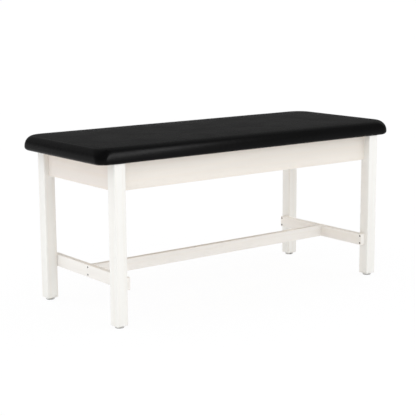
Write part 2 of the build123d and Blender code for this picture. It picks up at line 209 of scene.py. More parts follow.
def finished_mesh(name, bm):
    """Mesh of a bmesh, which is then freed."""
    mesh = bpy.data.meshes.new(name)
    bm.to_mesh(mesh)
    bm.free()
    return mesh


def evaluated_mesh(piece):
    """Mesh of an object with its modifiers applied."""
    depsgraph = bpy.context.evaluated_depsgraph_get()
    depsgraph.update()
    return bpy.data.meshes.new_from_object(piece.evaluated_get(depsgraph))


def add_to(bm, other, place):
    """Adds one bmesh to another at a place."""
    mesh = bpy.data.meshes.new("part")
    other.to_mesh(mesh)
    mesh.transform(place)
    bm.from_mesh(mesh)
    bpy.data.meshes.remove(mesh)


def solid_boxes(node):
    """Lowest and highest corners of each separate solid of a CAD node."""
    bm = bmesh.new()
    bm.from_mesh(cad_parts[node].data)
    bmesh.ops.remove_doubles(bm, verts=bm.verts, dist=WELD)
    boxes = []
    left = set(bm.verts)
    while left:
        group, queue = set(), [left.pop()]
        while queue:
            vert = queue.pop()
            group.add(vert)
            for edge in vert.link_edges:
                other = edge.other_vert(vert)
                if other in left:
                    left.discard(other)
                    queue.append(other)
        low = Vector(min(v.co[i] for v in group) for i in range(3))
        high = Vector(max(v.co[i] for v in group) for i in range(3))
        boxes.append((low, high))
    bm.free()
    return sorted(boxes, key=lambda box: tuple(box[0]))


def along(axis):
    """Turn that points local +Z along an axis."""
    return Vector((0, 0, 1)).rotation_difference(Vector(axis)).to_matrix().to_4x4()


def shown(piece, body, material, nodes):
    """Finishes a new piece: material, body, slot and the CAD nodes that it stands for."""
    piece.data.materials.clear()
    piece.data.materials.append(material)
    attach(piece, body)
    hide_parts(*nodes)
    return piece


def detailed(node, bm, body, material):
    """New piece that takes the place of one CAD node."""
    piece = link_object(f"{node}_detailed", finished_mesh(node, bm))
    return shown(piece, body, material, (node,))


def cut_away(bm, tool):
    """What is left of one bmesh when another is cut out of it."""
    blank = link_object("blank", finished_mesh("blank", bm))
    cutter = link_object("cutter", finished_mesh("cutter", tool))
    cut = blank.modifiers.new("Cut", "BOOLEAN")
    cut.object = cutter
    cut.operation = "DIFFERENCE"
    cut.solver = "EXACT"
    mesh = evaluated_mesh(blank)
    for spare in (blank, cutter):
        old = spare.data
        bpy.data.objects.remove(spare)
        bpy.data.meshes.remove(old)
    rest = bmesh.new()
    rest.from_mesh(mesh)
    bpy.data.meshes.remove(mesh)
    return rest


def feed(tree, socket, value):
    """Sets an input to a value, or links another node's output to it."""
    if isinstance(value, bpy.types.NodeSocket):
        tree.links.new(value, socket)
    else:
        socket.default_value = value


def new_node(tree, kind, inputs=None, **settings):
    """New node with its settings and inputs, where an input is a value or another node's output."""
    node = tree.nodes.new(kind)
    for key, value in settings.items():
        setattr(node, key, value)
    for key, value in (inputs or {}).items():
        feed(tree, node.inputs[key], value)
    return node


class Shader:
    """Short way to write a node material with one Principled shader."""

    def __init__(self, name):
        self.material = bpy.data.materials.new(name)
        self.material.use_nodes = True
        self.tree = self.material.node_tree
        self.surface = self.tree.nodes["Principled BSDF"]
        self.place = self.add("ShaderNodeTexCoord").outputs["Object"]

    def add(self, kind, inputs=None, **settings):
        """New node in this material."""
        return new_node(self.tree, kind, inputs, **settings)

    def mapped(self, vector, scale=(1, 1, 1), turn=(0, 0, 0), shift=(0, 0, 0)):
        """Coordinates scaled, turned and shifted."""
        inputs = {"Vector": vector, "Scale": scale, "Rotation": turn, "Location": shift}
        return self.add("ShaderNodeMapping", inputs).outputs["Vector"]

    def noise(self, vector, scale, detail=3.0, roughness=0.5, distortion=0.0):
        """Noise value between 0 and 1."""
        inputs = {
            "Vector": vector, "Scale": scale, "Detail": detail, "Roughness": roughness,
            "Distortion": distortion,
        }
        return self.add("ShaderNodeTexNoise", inputs).outputs["Fac"]

    def swayed(self, vector, scale, reach):
        """Coordinates pushed about by a noise, as far as the reach in each direction."""
        sway = self.add("ShaderNodeTexNoise", {"Vector": vector, "Scale": scale, "Detail": 2.0})
        push = self.add("ShaderNodeVectorMath", {0: sway.outputs["Color"], 1: reach}, operation="MULTIPLY")
        return self.add("ShaderNodeVectorMath", {0: vector, 1: push.outputs[0]}, operation="ADD").outputs[0]

    def ramp(self, value, low, high, out_low=0.0, out_high=1.0):
        """Value spread smoothly from one range to another, clamped."""
        inputs = {"Value": value, "From Min": low, "From Max": high, "To Min": out_low, "To Max": out_high}
        return self.add("ShaderNodeMapRange", inputs, interpolation_type="SMOOTHSTEP").outputs["Result"]

    def mix(self, factor, first, second):
        """Mix of two colours."""
        return self.add("ShaderNodeMix", {0: factor, 6: first, 7: second}, data_type="RGBA").outputs[2]

    def maths(self, kind, first, second):
        """Result of one sum."""
        return self.add("ShaderNodeMath", {0: first, 1: second}, operation=kind).outputs[0]

    def finish(self, bump, depth, **inputs):
        """Sets the surface and its bump, and returns the material."""
        for key, value in inputs.items():
            feed(self.tree, self.surface.inputs[key.replace("_", " ")], value)
        node = self.add("ShaderNodeBump", {"Height": bump, "Distance": depth, "Strength": 1.0})
        self.tree.links.new(node.outputs["Normal"], self.surface.inputs["Normal"])
        return self.material


def opaque(colour):
    """Colour with full alpha."""
    return (*colour, 1.0)


def tinted(colour, share):
    """Colour multiplied by a share."""
    return (*[channel * share for channel in colour], 1.0)


def vinyl_material():
    """Black upholstery vinyl with a fine pebbled grain, painted shade in the grain's creases, and faint
    scuffs.
    """
    shader = Shader("black_vinyl")
    pebble = 1 / PAD.grain_size
    place = shader.swayed(shader.place, pebble / 4, (0.4 * PAD.grain_size,) * 3)
    cells = shader.add(
        "ShaderNodeTexVoronoi", {"Vector": place, "Scale": pebble, "Randomness": 1.0},
        feature="DISTANCE_TO_EDGE",
    )
    grain = shader.ramp(cells.outputs["Distance"], 0.0, 0.35)
    fine = shader.noise(shader.place, pebble * 3, 2.0)
    height = shader.maths("ADD", grain, shader.maths("MULTIPLY", fine, 0.25))
    scuffs = shader.noise(shader.place, 7.0, 5.0, 0.6)
    patches = shader.noise(shader.mapped(shader.place, shift=(3.1, 0.7, 0.2)), 2.2, 2.0)
    rough = shader.maths(
        "ADD",
        shader.ramp(scuffs, 0.35, 0.7, PAD.vinyl_roughness - 0.02, PAD.vinyl_roughness + 0.03),
        shader.ramp(grain, 0.0, 1.0, 0.03, 0.0),
    )
    dull, worn = tinted(PAD.vinyl_colour, 0.94), tinted(PAD.vinyl_colour, 1.08)
    face = shader.mix(shader.ramp(patches, 0.3, 0.7), dull, worn)
    # Painted shade: the creases between the pebbles are painted at 0.6 of the vinyl's colour.
    colour = shader.mix(shader.ramp(grain, 0.0, 0.6), tinted(PAD.vinyl_colour, 0.6), face)
    return shader.finish(
        height, PAD.grain_depth, Base_Color=colour, Roughness=rough, Specular_IOR_Level=PAD.vinyl_gloss,
    )


# Radians that a wave texture runs through in one unit at a scale of 1.
WAVE_TURN = 20
RING_SWAY = 55 * MM
RING_STRETCH_SHARE = 0.08
PORE_STRETCH_SHARE = 0.02


def wood_material(name, grain_axis, colour, streak, streak_share, roughness, pore_share=0.5):
    """Wood with growth rings, warm streaks and fine pores that run along one axis."""
    shader = Shader(name)
    quarter = math.pi / 2
    turn = {"X": (0, quarter, 0), "Y": (quarter, 0, 0), "Z": (0, 0, 0)}[grain_axis]
    local = shader.mapped(shader.place, turn=turn)
    long_way = shader.mapped(local, (1, 1, RING_STRETCH_SHARE))
    fibres = shader.mapped(local, (1, 1, PORE_STRETCH_SHARE))
    ring_inputs = {
        "Vector": shader.swayed(long_way, 5.0, (RING_SWAY, RING_SWAY, 0.0)),
        "Scale": math.tau / (WAVE_TURN * WOOD.ring_pitch),
        "Distortion": 1.5,
        "Detail": 2.0,
        "Detail Scale": 1.5,
    }
    rings = shader.add(
        "ShaderNodeTexWave", ring_inputs, wave_type="RINGS", rings_direction="Z", wave_profile="SAW",
    ).outputs["Fac"]
    figure = shader.noise(long_way, 14.0, 4.0, 0.55, 0.4)
    pores = shader.noise(fibres, 900.0, 2.0, 0.6)
    clouds = shader.noise(long_way, 4.0, 2.0)
    late = shader.maths("MULTIPLY", shader.ramp(rings, 0.55, 1.0), shader.ramp(clouds, 0.3, 0.7, 0.3, 1.0))
    base = shader.mix(shader.ramp(figure, 0.3, 0.75), tinted(colour, 1.015), tinted(colour, 0.965))
    warm = shader.mix(shader.maths("MULTIPLY", late, streak_share), base, opaque(streak))
    streaks = shader.maths("MULTIPLY", shader.ramp(figure, 0.56, 0.8), streak_share * 0.9)
    heart = shader.mix(streaks, warm, opaque(streak))
    open_pores = shader.maths("MULTIPLY", shader.ramp(pores, 0.6, 0.78), pore_share)
    pored = shader.mix(open_pores, heart, tinted(streak, 0.72))
    rough = shader.ramp(pores, 0.3, 0.8, roughness - 0.03, roughness + 0.12)
    height = shader.maths("SUBTRACT", shader.maths("MULTIPLY", rings, 0.25), shader.ramp(pores, 0.58, 0.8))
    return shader.finish(
        height, WOOD.pore_depth, Base_Color=pored, Roughness=rough, Specular_IOR_Level=0.35,
    )


FOAM_DEPTH = 0.4 * MM
DRAWN_DEPTH = 0.01 * MM
MOULD_DEPTH = 0.04 * MM


def foam_material():
    """Pale open-cell foam, with painted shade inside its cells."""
    shader = Shader("foam")
    cells = shader.add("ShaderNodeTexVoronoi", {"Vector": shader.place, "Scale": 900.0}).outputs["Distance"]
    soft = shader.noise(shader.place, 20.0, 3.0)
    walls = shader.mix(shader.ramp(soft, 0.3, 0.7), opaque(PAD.foam_colour), opaque(PAD.aged_foam))
    # Painted shade: the middle of each cell takes the darker cell colour.
    colour = shader.mix(shader.ramp(cells, 0.0, 0.5), opaque(PAD.foam_cell_shade), walls)
    return shader.finish(cells, FOAM_DEPTH, Base_Color=colour, Roughness=0.95, Specular_IOR_Level=0.1)


def steel_material(name, colour, roughness):
    """Plated steel with faint drawn lines and a mottled passivate."""
    shader = Shader(name)
    mottle = shader.noise(shader.place, 260.0, 3.0)
    lines = shader.noise(shader.mapped(shader.place, (1, 1, 14)), 420.0, 2.0)
    shade = shader.mix(shader.ramp(mottle, 0.3, 0.7), tinted(colour, 0.86), tinted(colour, 1.12))
    rough = shader.ramp(lines, 0.3, 0.7, roughness - 0.06, roughness + 0.1)
    return shader.finish(lines, DRAWN_DEPTH, Base_Color=shade, Roughness=rough, Metallic=1.0)


def moulded_material(name, colour, dusty, roughness):
    """Moulded plastic or rubber with a fine spark-eroded texture and a little dust."""
    shader = Shader(name)
    texture = shader.noise(shader.place, 1400.0, 2.0)
    dust = shader.noise(shader.place, 60.0, 4.0)
    shade = shader.mix(shader.ramp(dust, 0.45, 0.8, 0.0, 0.35), opaque(colour), dusty)
    rough = shader.ramp(dust, 0.3, 0.8, roughness, roughness + 0.15)
    return shader.finish(texture, MOULD_DEPTH, Base_Color=shade, Roughness=rough)


def ring(bm, inset, height, corner):
    """Rounded rectangle of the pad's outline, drawn in by an inset, at a height."""
    made = bmesh.ops.create_grid(bm, x_segments=1, y_segments=1, size=1.0)["verts"]
    half = Vector((PAD_HIGH.x - inset, PAD_HIGH.y - inset, 1.0))
    bmesh.ops.scale(bm, verts=made, vec=half)
    bmesh.ops.translate(bm, verts=made, vec=(0, 0, PAD_LOW.z + height))
    bmesh.ops.delete(bm, geom=bm.faces[:], context="FACES_ONLY")
    bmesh.ops.bevel(
        bm, geom=bm.verts[:] + bm.edges[:], offset=corner, segments=PAD.corner_steps, profile=0.5,
        affect="VERTICES", material=-1,
    )
    for edge in bm.edges[:]:
        cuts = int(edge.calc_length() / PAD.mesh_step) - 1
        if cuts > 1:
            bmesh.ops.subdivide_edges(bm, edges=[edge], cuts=cuts)
    return bm.edges[:]


def move_ring(verts, old, new):
    """Moves an outline from one inset, height and corner radius to another."""
    inset, _, corner = old
    new_inset, height, new_corner = new
    reach_x, reach_y = PAD_HIGH.x - inset - corner, PAD_HIGH.y - inset - corner
    new_x, new_y = PAD_HIGH.x - new_inset - new_corner, PAD_HIGH.y - new_inset - new_corner
    for vert in verts:
        centre = Vector((min(max(vert.co.x, -reach_x), reach_x), min(max(vert.co.y, -reach_y), reach_y), 0))
        arm = (vert.co - centre).xy / corner * new_corner
        x, y = centre.x / reach_x * new_x + arm.x, centre.y / reach_y * new_y + arm.y
        vert.co = (x, y, PAD_LOW.z + height)


def fill_ring(bm, edges):
    """Closes a ring with an even grid between its two long sides."""
    reach_x = max(abs(edge.verts[0].co.x) for edge in edges)
    reach_y = max(abs(edge.verts[0].co.y) for edge in edges)
    long_sides = []
    for edge in edges:
        first, second = [vert.co for vert in edge.verts]
        if abs(first.y + second.y) / 2 / reach_y > abs(first.x + second.x) / 2 / reach_x:
            long_sides.append(edge)
    bmesh.ops.grid_fill(bm, edges=long_sides)


def lofted(sections, fill_first=False):
    """Skin through the pad's outline at each inset, height and corner radius, closed at its last section."""
    bm = bmesh.new()
    edges = ring(bm, *sections[0])
    first = edges
    for old, new in zip(sections, sections[1:]):
        made = bmesh.ops.extrude_edge_only(bm, edges=edges)["geom"]
        verts = [item for item in made if isinstance(item, bmesh.types.BMVert)]
        edges = [item for item in made if isinstance(item, bmesh.types.BMEdge) and item.is_boundary]
        fresh = set(verts)
        edges = [edge for edge in edges if edge.verts[0] in fresh and edge.verts[1] in fresh]
        move_ring(verts, old, new)
    fill_ring(bm, edges)
    if fill_first:
        fill_ring(bm, first)
    bmesh.ops.recalc_face_normals(bm, faces=bm.faces)
    return bm


def eased(steps):
    """Even steps from just past 0 to 1."""
    return [(step + 1) / steps for step in range(steps)]


def opened_corner(inset, skin):
    """Corner radius in plan, which opens out as the vinyl rolls over the corner."""
    rolled = min(inset, PAD.roll_inset) - skin
    crowned = max(inset - PAD.roll_inset, 0)
    return PAD.corner_radius - skin + PAD.roll_corner_share * rolled + PAD.crown_corner_share * crowned


def upper_sections(skin):
    """Side, roll and crown of the pad, drawn in by a skin."""
    top = PAD_HIGH.z - PAD_LOW.z - skin
    edge = PAD.edge_round - skin
    sections = []
    for share in eased(PAD.edge_steps):
        turn = share * math.pi / 2
        inset = PAD.edge_round - edge * math.sin(turn)
        corner = PAD.corner_radius - skin * math.sin(turn)
        sections.append((inset, skin + edge * (1 - math.cos(turn)), corner))
    for share in eased(PAD.side_steps):
        height = skin + edge + share * (PAD.side_height - skin - edge)
        sections.append((skin, height, opened_corner(skin, skin)))
    rise = top - PAD.side_height - PAD.crown_height
    for share in eased(PAD.roll_steps):
        turn = share * math.pi / 2
        inset = skin + (PAD.roll_inset - skin) * (1 - math.cos(turn))
        sections.append((inset, PAD.side_height + rise * math.sin(turn), opened_corner(inset, skin)))
    for share in eased(PAD.crown_steps):
        inset = PAD.roll_inset + share * (PAD.crown_inset - PAD.roll_inset)
        height = top - PAD.crown_height * (1 - share) ** 2
        sections.append((inset, height, opened_corner(inset, skin)))
    return sections


STUFFING_FRAMES = 20
STAPLED_HEIGHT = 2 * MM
EVENING_ROUNDS = 6
FLAT_LOSS_SHARE = 0.6


def stuffed(piece, swell, pressure):
    """Cloth simulation: the foam pushes the vinyl out while its underside stays stapled flat."""
    start = [vert.co.copy() for vert in piece.data.vertices]
    facing = [vert.normal.copy() for vert in piece.data.vertices]
    held = piece.vertex_groups.new(name="stapled")
    stapled = [vert.index for vert in piece.data.vertices if vert.co.z < PAD_LOW.z + STAPLED_HEIGHT]
    held.add(stapled, 1.0, "REPLACE")
    cloth = piece.modifiers.new("Stuffing", "CLOTH")
    settings = cloth.settings
    settings.quality = 5
    settings.mass = 0.4
    settings.use_pressure = True
    settings.uniform_pressure_force = pressure
    settings.tension_stiffness = 30
    settings.compression_stiffness = 30
    settings.bending_stiffness = 4
    settings.vertex_group_mass = "stapled"
    settings.effector_weights.gravity = 0
    cloth.point_cache.frame_start = 1
    cloth.point_cache.frame_end = STUFFING_FRAMES
    scene = bpy.context.scene
    for step in range(1, STUFFING_FRAMES + 1):
        scene.frame_set(step)
    mesh = evaluated_mesh(piece)
    raised = []
    for vert, origin, normal in zip(mesh.vertices, start, facing):
        out = max((vert.co - origin).dot(normal), 0.0)
        raised.append(swell * math.tanh(out / swell) * (1 - FLAT_LOSS_SHARE * abs(normal.z)))
    raised = evened(mesh, raised, EVENING_ROUNDS)
    for vert, origin, normal, out in zip(mesh.vertices, start, facing, raised):
        vert.co = origin + normal * out
    piece.modifiers.clear()
    piece.vertex_groups.clear()
    old = piece.data
    piece.data = mesh
    bpy.data.meshes.remove(old)
    scene.frame_set(1)


def evened(mesh, values, rounds):
    """Values at a mesh's vertices, each averaged with its neighbours some rounds over."""
    for _ in range(rounds):
        totals, counts = list(values), [1] * len(values)
        for edge in mesh.edges:
            first, second = edge.vertices
            totals[first] += values[second]
            totals[second] += values[first]
            counts[first] += 1
            counts[second] += 1
        values = [total / count for total, count in zip(totals, counts)]
    return values


def ease(value, low, high):
    """Smooth step from 0 at low to 1 at high."""
    share = min(max((value - low) / (high - low), 0.0), 1.0)
    return share * share * (3 - 2 * share)


def corner_angle(co, radius):
    """Angle round the nearest corner of the pad in plan, or None away from the corners."""
    x = abs(co.x) - (PAD_HIGH.x - radius)
    y = abs(co.y) - (PAD_HIGH.y - radius)
    if x <= 0 or y <= 0:
        return None
    return math.atan2(y, x)


# Rates at which the noise of the soft waves and of the pulls changes along X, Y and Z, per metre.
WAVE_RATE = Vector((5.0, 5.0, 9.0))
PULL_RATE = Vector((22.0, 22.0, 6.0))
PULL_SHARE = 0.45
GATHER_START = 12 * MM
GATHER_FULL = 30 * MM
GATHERS_ROUND = 24
FACES_DOWN = -0.9
RETURN_SHARES = (0.0, 0.35, 0.7)


def upholstered(bm, ripple, pleat_depth):
    """Soft unevenness of the stretched vinyl, and gathers where it turns under each corner."""
    bm.normal_update()
    middle = (PAD_LOW.z + PAD_HIGH.z) / 2
    for vert in bm.verts:
        co = vert.co
        side = 1 - abs(vert.normal.z)
        wave = noise.noise(co * WAVE_RATE)
        pull = noise.noise(co * PULL_RATE)
        if vert.normal.z >= FACES_DOWN:
            vert.co += vert.normal * ripple * (wave + PULL_SHARE * pull * side)
        turn = corner_angle(co, PAD.return_corner)
        if turn is not None and co.z < middle:
            share = ease(middle - co.z, GATHER_START, GATHER_FULL) * math.sin(2 * turn)
            gather = (1 + math.cos(turn * GATHERS_ROUND)) / 2
            vert.co += inward(co) * pleat_depth * gather * share


class EXAMTABLE_OT_upholstered_pad(bpy.types.Operator):
    """Stuffs, wraps and finishes the vinyl pad"""

    bl_idname = "exam_table.upholstered_pad"
    bl_label = "Upholstered pad"

    def execute(self, context):
        width = PAD.return_width - PAD.edge_round
        under = [(PAD.return_width - share * width, 0.0, PAD.return_corner) for share in RETURN_SHARES]
        under.append((PAD.edge_round, 0.0, PAD.corner_radius))
        bm = lofted(under + upper_sections(0.0))
        piece = link_object("upholstered_pad", finished_mesh("upholstered_pad", bm))
        stuffed(piece, PAD.swell, PAD.pressure)
        bm = bmesh.new()
        bm.from_mesh(piece.data)
        upholstered(bm, PAD.ripple, PAD.pleat_depth)
        old = piece.data
        piece.data = finished_mesh("upholstered_pad", bm)
        bpy.data.meshes.remove(old)
        wall = piece.modifiers.new("Vinyl", "SOLIDIFY")
        wall.thickness = PAD.vinyl_thickness
        wall.offset = -1
        wall.use_even_offset = True
        piece.data.polygons.foreach_set("use_smooth", [True] * len(piece.data.polygons))
        shown(piece, "root", vinyl_material(), ("vinyl_cover",))
        return {"FINISHED"}


class EXAMTABLE_OT_foam_core(bpy.types.Operator):
    """Makes the foam that lies on the deck and wraps its edge"""

    bl_idname = "exam_table.foam_core"
    bl_label = "Foam core"

    def execute(self, context):
        low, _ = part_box("foam_pad")
        skin = low.x - PAD_LOW.x
        floor = low.z - PAD_LOW.z
        pocket = DECK_LOW.x - PAD_LOW.x - PAD.foam_gap
        ceiling = DECK_HIGH.z - PAD_LOW.z
        inner_corner = PAD.return_corner + PAD.foam_gap
        sections = [(pocket, ceiling, inner_corner), (pocket, floor, inner_corner)]
        sections += [(inset, max(height, floor), corner) for inset, height, corner in upper_sections(skin)]
        mesh = finished_mesh("foam_core", lofted(sections, fill_first=True))
        piece = link_object("foam_core", mesh, smooth=True)
        shown(piece, "root", foam_material(), ("foam_pad",))
        return {"FINISHED"}


def dress(nodes, material):
    """Gives CAD nodes their material."""
    for node in nodes:
        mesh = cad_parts[node].data
        mesh.materials.clear()
        mesh.materials.append(material)


STAINED_PORE_SHARE = 0.18


class EXAMTABLE_OT_wood_base(bpy.types.Operator):
    """Stains the legs, aprons and stretchers"""

    bl_idname = "exam_table.wood_base"
    bl_label = "Wood base"

    def execute(self, context):
        # Material, way of the grain, stain, share of the streaks, and pieces.
        groups = (
            ("stained_leg", "Z", WOOD.leg_stain, 0.16, LEGS),
            ("stained_long_apron", "X", WOOD.apron_stain, 0.22, LONG_APRONS),
            ("stained_end_apron", "Y", WOOD.end_stain, 0.3, END_APRONS),
            ("stained_end_stretcher", "Y", WOOD.stretcher_stain, 0.16, END_STRETCHERS),
            ("stained_long_stretcher", "X", WOOD.stretcher_stain, 0.16, ("long_stretcher",)),
        )
        for name, axis, stain, streak_share, nodes in groups:
            material = wood_material(
                name, axis, stain, WOOD.heart_colour, streak_share, WOOD.satin, STAINED_PORE_SHARE
            )
            dress(nodes, material)
        return {"FINISHED"}


BARE_STREAK_SHARE = 0.55


class EXAMTABLE_OT_inner_pieces(bpy.types.Operator):
    """Finishes the deck, cross rails and corner blocks"""

    bl_idname = "exam_table.inner_pieces"
    bl_label = "Inner pieces"

    def execute(self, context):
        # Material, way of the grain, colour, share of the streaks, roughness, and pieces.
        groups = (
            ("deck_plywood", "X", WOOD.ply_colour, 0.5, 0.7, ("deck_board",)),
            ("bare_rail", "Y", WOOD.bare_colour, 0.45, 0.65, RAILS),
            ("bare_block", "Z", WOOD.bare_colour, 0.45, 0.65, BLOCKS),
        )
        for name, axis, colour, streak_share, roughness, nodes in groups:
            streak = tinted(colour, BARE_STREAK_SHARE)[:3]
            dress(nodes, wood_material(name, axis, colour, streak, streak_share, roughness))
        return {"FINISHED"}


def spun(points, steps):
    """Closed turned form about Z from the points of half its section."""
    bm = bmesh.new()
    verts = [bm.verts.new((radius, 0, height)) for radius, height in points]
    edges = [bm.edges.new(pair) for pair in zip(verts, verts[1:])]
    bmesh.ops.spin(
        bm, geom=verts + edges, cent=(0, 0, 0), axis=(0, 0, 1), angle=math.tau, steps=steps, use_merge=True,
    )
    bmesh.ops.remove_doubles(bm, verts=bm.verts, dist=FINE_WELD)
    bmesh.ops.recalc_face_normals(bm, faces=bm.faces)
    return bm


# Heights of a thread's crest, as shares of half its pitch.
CREST_SHARES = (0.85, 1.15)


def threaded(root, crest, pitch, length, steps):
    """Helical thread about Z from height zero up, with a number of steps to each turn."""
    turns = max(int(length / pitch), 1)
    bm = bmesh.new()
    crest_low, crest_high = [share * pitch / 2 for share in CREST_SHARES]
    profile = ((root, 0), (crest, crest_low), (crest, crest_high), (root, pitch))
    verts = [bm.verts.new((radius, 0, height)) for radius, height in profile]
    edges = [bm.edges.new(pair) for pair in zip(verts, verts[1:])]
    bmesh.ops.spin(
        bm, geom=verts + edges, cent=(0, 0, 0), axis=(0, 0, 1), dvec=(0, 0, pitch / steps),
        angle=math.tau * turns, steps=steps * turns,
    )
    bmesh.ops.remove_doubles(bm, verts=bm.verts, dist=WELD)
    bmesh.ops.recalc_face_normals(bm, faces=bm.faces)
    return bm


# Sizes of a wood screw, the shares taken of its head, shank or length.
SCREW_RIM = 0.4 * MM
SCREW_EDGE = 0.25 * MM
SCREW_TIP = 0.1 * MM
SCREW_CORE_SHARE = 0.78
SCREW_PITCH_SHARE = 0.42
SCREW_THREAD_SHARE = 0.55
SCREW_REACH_SHARE = 0.92
RECESS_WIDTH_SHARE = 0.56
RECESS_ARM_SHARE = 0.13
RECESS_DEPTH_SHARE = 0.2
RECESS_TAPER_SHARE = 0.45
# Turn from one screw to the next, in radians.
SCREW_TURN = 1.1


def cross_recess(width, arm, depth):
    """Cutter for a cross-head drive, narrowing downwards."""
    bm = bmesh.new()
    bmesh.ops.create_cube(bm, size=1.0)
    bmesh.ops.scale(bm, verts=bm.verts, vec=(arm, arm, 2 * depth))
    bm.normal_update()
    for face in [side for side in bm.faces if abs(side.normal.z) < 0.5]:
        outward = face.normal.copy()
        made = bmesh.ops.extrude_discrete_faces(bm, faces=[face])["faces"]
        bmesh.ops.translate(bm, verts=made[0].verts, vec=outward * (width - arm) / 2)
    bmesh.ops.remove_doubles(bm, verts=bm.verts, dist=FINE_WELD)
    for vert in bm.verts:
        if vert.co.z < 0:
            vert.co.xy *= RECESS_TAPER_SHARE
    bmesh.ops.recalc_face_normals(bm, faces=bm.faces)
    return bm


def screw_form(head, shank, length):
    """Countersunk cross-head wood screw, its flat head at height zero, pointing down."""
    radius, core = head / 2, shank / 2 * SCREW_CORE_SHARE
    cone = radius - shank / 2
    points = (
        (0, 0), (radius - SCREW_EDGE, 0), (radius, -SCREW_EDGE), (radius, -SCREW_RIM),
        (core, -SCREW_RIM - cone), (core, -length + 2 * shank), (SCREW_TIP, -length), (0, -length),
    )
    recess = cross_recess(head * RECESS_WIDTH_SHARE, head * RECESS_ARM_SHARE, head * RECESS_DEPTH_SHARE)
    bm = cut_away(spun(points, 28), recess)
    thread = threaded(core, shank / 2, shank * SCREW_PITCH_SHARE, length * SCREW_THREAD_SHARE, 14)
    add_to(bm, thread, Matrix.Translation((0, 0, -length * SCREW_REACH_SHARE)))
    thread.free()
    return bm


def screw_places(node, head_first):
    """Place, length and head's width of each screw in a node, its head at the end that head_first picks."""
    places = []
    for low, high in solid_boxes(node):
        size = high - low
        axis = max(range(3), key=lambda i: size[i])
        middle = (low + high) / 2
        ends = [middle.copy(), middle.copy()]
        ends[0][axis], ends[1][axis] = low[axis], high[axis]
        head = head_first(ends)
        direction = Vector((0, 0, 0))
        direction[axis] = 1 if head[axis] > middle[axis] else -1
        places.append((Matrix.Translation(head) @ along(direction), size[axis], min(size)))
    return places


def inner_end(ends):
    """The end nearer the middle of the table in plan."""
    return min(ends, key=lambda point: point.xy.length)


def outer_end(ends):
    """The end farther from the middle of the table in plan."""
    return max(ends, key=lambda point: point.xy.length)


def lower_end(ends):
    """The lower end."""
    return min(ends, key=lambda point: point.z)


class EXAMTABLE_OT_wood_screws(bpy.types.Operator):
    """Makes every countersunk screw"""

    bl_idname = "exam_table.wood_screws"
    bl_label = "Wood screws"

    def execute(self, context):
        dark = steel_material("dark_plated_steel", HARDWARE.dark_colour, 0.42)
        bright = steel_material("screw_zinc", HARDWARE.zinc_colour, 0.32)
        # Node, end with the head, shank's share of the head, slot and material.
        kinds = (
            ("leg_screws", inner_end, 0.52, "dark_steel", dark),
            ("brace_screws", outer_end, 0.52, "dark_steel", dark),
            ("block_screws", inner_end, 0.49, "zinc_steel", bright),
            ("deck_screws", lower_end, 0.49, "zinc_steel", bright),
        )
        for node, head_end, shank_share, slot, material in kinds:
            places = screw_places(node, head_end)
            _, length, head = places[0]
            form = screw_form(head, head * shank_share, length)
            bm = bmesh.new()
            for number, (place, _, _) in enumerate(places):
                add_to(bm, form, place @ Matrix.Rotation(number * SCREW_TURN, 4, "Z"))
            form.free()
            detailed(node, bm, "root", material)
        return {"FINISHED"}


def inward(place):
    """Level direction from one of the table's corners towards its middle."""
    return Vector((-math.copysign(1, place.x), -math.copysign(1, place.y), 0)).normalized()


# Sizes of the corner hardware, the shares taken of the bolt's radius or length.
BOLT_EDGE = 0.6 * MM
BOLT_CORE_SHARE = 0.86
BOLT_THREAD_SHARE = 0.42
BOLT_THREAD_START_SHARE = 0.56
WASHER_EDGE = 0.25 * MM
WASHER_PLAY = 0.5 * MM
NUT_EDGE = 0.7 * MM
NUT_BORE_SHARE = 0.9


class EXAMTABLE_OT_corner_hardware(bpy.types.Operator):
    """Makes the hanger bolts, washers and nuts of the corner blocks"""

    bl_idname = "exam_table.corner_hardware"
    bl_label = "Corner hardware"

    def execute(self, context):
        low, high = solid_boxes("hanger_bolts")[0]
        diameter = high.z - low.z
        length = (high - low).xy.length - diameter
        low, high = solid_boxes("bolt_washers")[0]
        outer = (high.z - low.z) / 2
        thick = (high - low).xy.length - 2 * outer
        nut = hex_form(HARDWARE.nut_width, HARDWARE.nut_height, diameter / 2 * NUT_BORE_SHARE, NUT_EDGE)
        zinc = steel_material("bolt_zinc", HARDWARE.zinc_colour, 0.28)
        # Node, form, and how far the form starts from the middle of its place.
        kinds = (
            ("hanger_bolts", bolt_form(diameter / 2, length), -length / 2),
            ("bolt_washers", washer_form(diameter / 2 + WASHER_PLAY, outer, thick), 0),
            ("bolt_nuts", nut, 0),
        )
        for node, form, start in kinds:
            bm = bmesh.new()
            for low, high in solid_boxes(node):
                middle = (low + high) / 2
                place = Matrix.Translation(middle) @ along(inward(middle))
                add_to(bm, form, place @ Matrix.Translation((0, 0, start)))
            form.free()
            detailed(node, bm, "root", zinc)
        return {"FINISHED"}


def bolt_form(radius, length):
    """Hanger bolt about Z from height zero up, threaded at its upper end."""
    core = radius * BOLT_CORE_SHARE
    points = (
        (0, 0), (core - BOLT_EDGE, 0), (core, BOLT_EDGE), (core, length - BOLT_EDGE),
        (core - BOLT_EDGE, length), (0, length),
    )
    bm = spun(points, 24)
    thread = threaded(core, radius, HARDWARE.bolt_pitch, length * BOLT_THREAD_SHARE, 24)
    add_to(bm, thread, Matrix.Translation((0, 0, length * BOLT_THREAD_START_SHARE)))
    thread.free()
    return bm


def washer_form(bore, outer, thick):
    """Washer with eased edges about Z, centred on height zero."""
    face, edge = thick / 2, WASHER_EDGE
    points = (
        (bore, edge - face), (bore + edge, -face), (outer - edge, -face), (outer, edge - face),
        (outer, face - edge), (outer - edge, face), (bore + edge, face), (bore, face - edge),
        (bore, edge - face),
    )
    return spun(points, 36)


